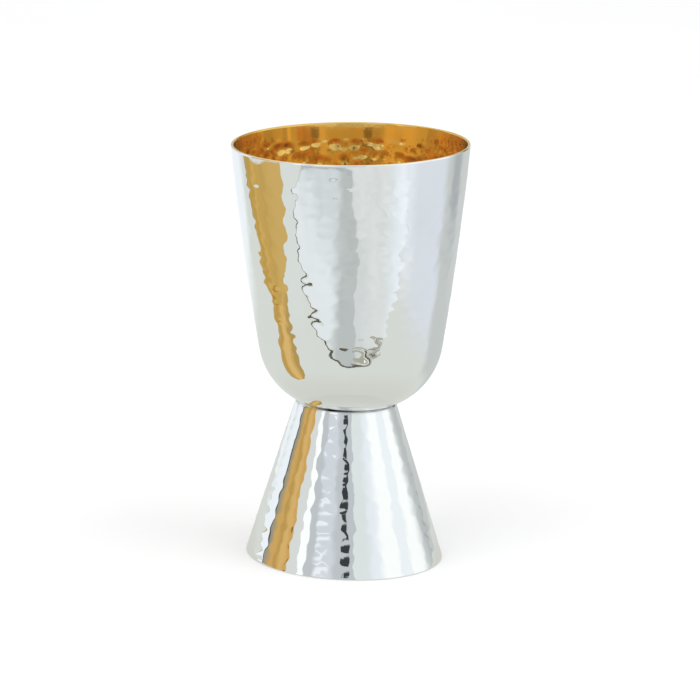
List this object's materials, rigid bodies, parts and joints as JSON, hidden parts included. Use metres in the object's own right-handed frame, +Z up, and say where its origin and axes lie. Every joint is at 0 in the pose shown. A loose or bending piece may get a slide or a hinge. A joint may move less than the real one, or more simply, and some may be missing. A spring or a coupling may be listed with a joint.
{
  "type": "communion cup",
  "caption": "Hammered silver cup, gilt inside: a deep round-bottomed bowl with a slightly flared side, soldered on a hollow cone-shaped foot.",
  "frame": {"origin": "on the table, under the middle of the cup's bounding box; the middle of the foot's underside is 3.58 mm from it towards +X", "axes": "+Z up, from the foot to the rim; the bowl leans 2.4 degrees and the foot's middle 1.7 degrees towards -X, and the picture's camera looks along +Y"},
  "size_m": [0.0788, 0.0788, 0.1416],
  "materials": {
    "silver": "polished"
  },
  "bodies": {
    "root": {"bowl": "silver", "foot": "silver"}
  },
  "joints": []
}
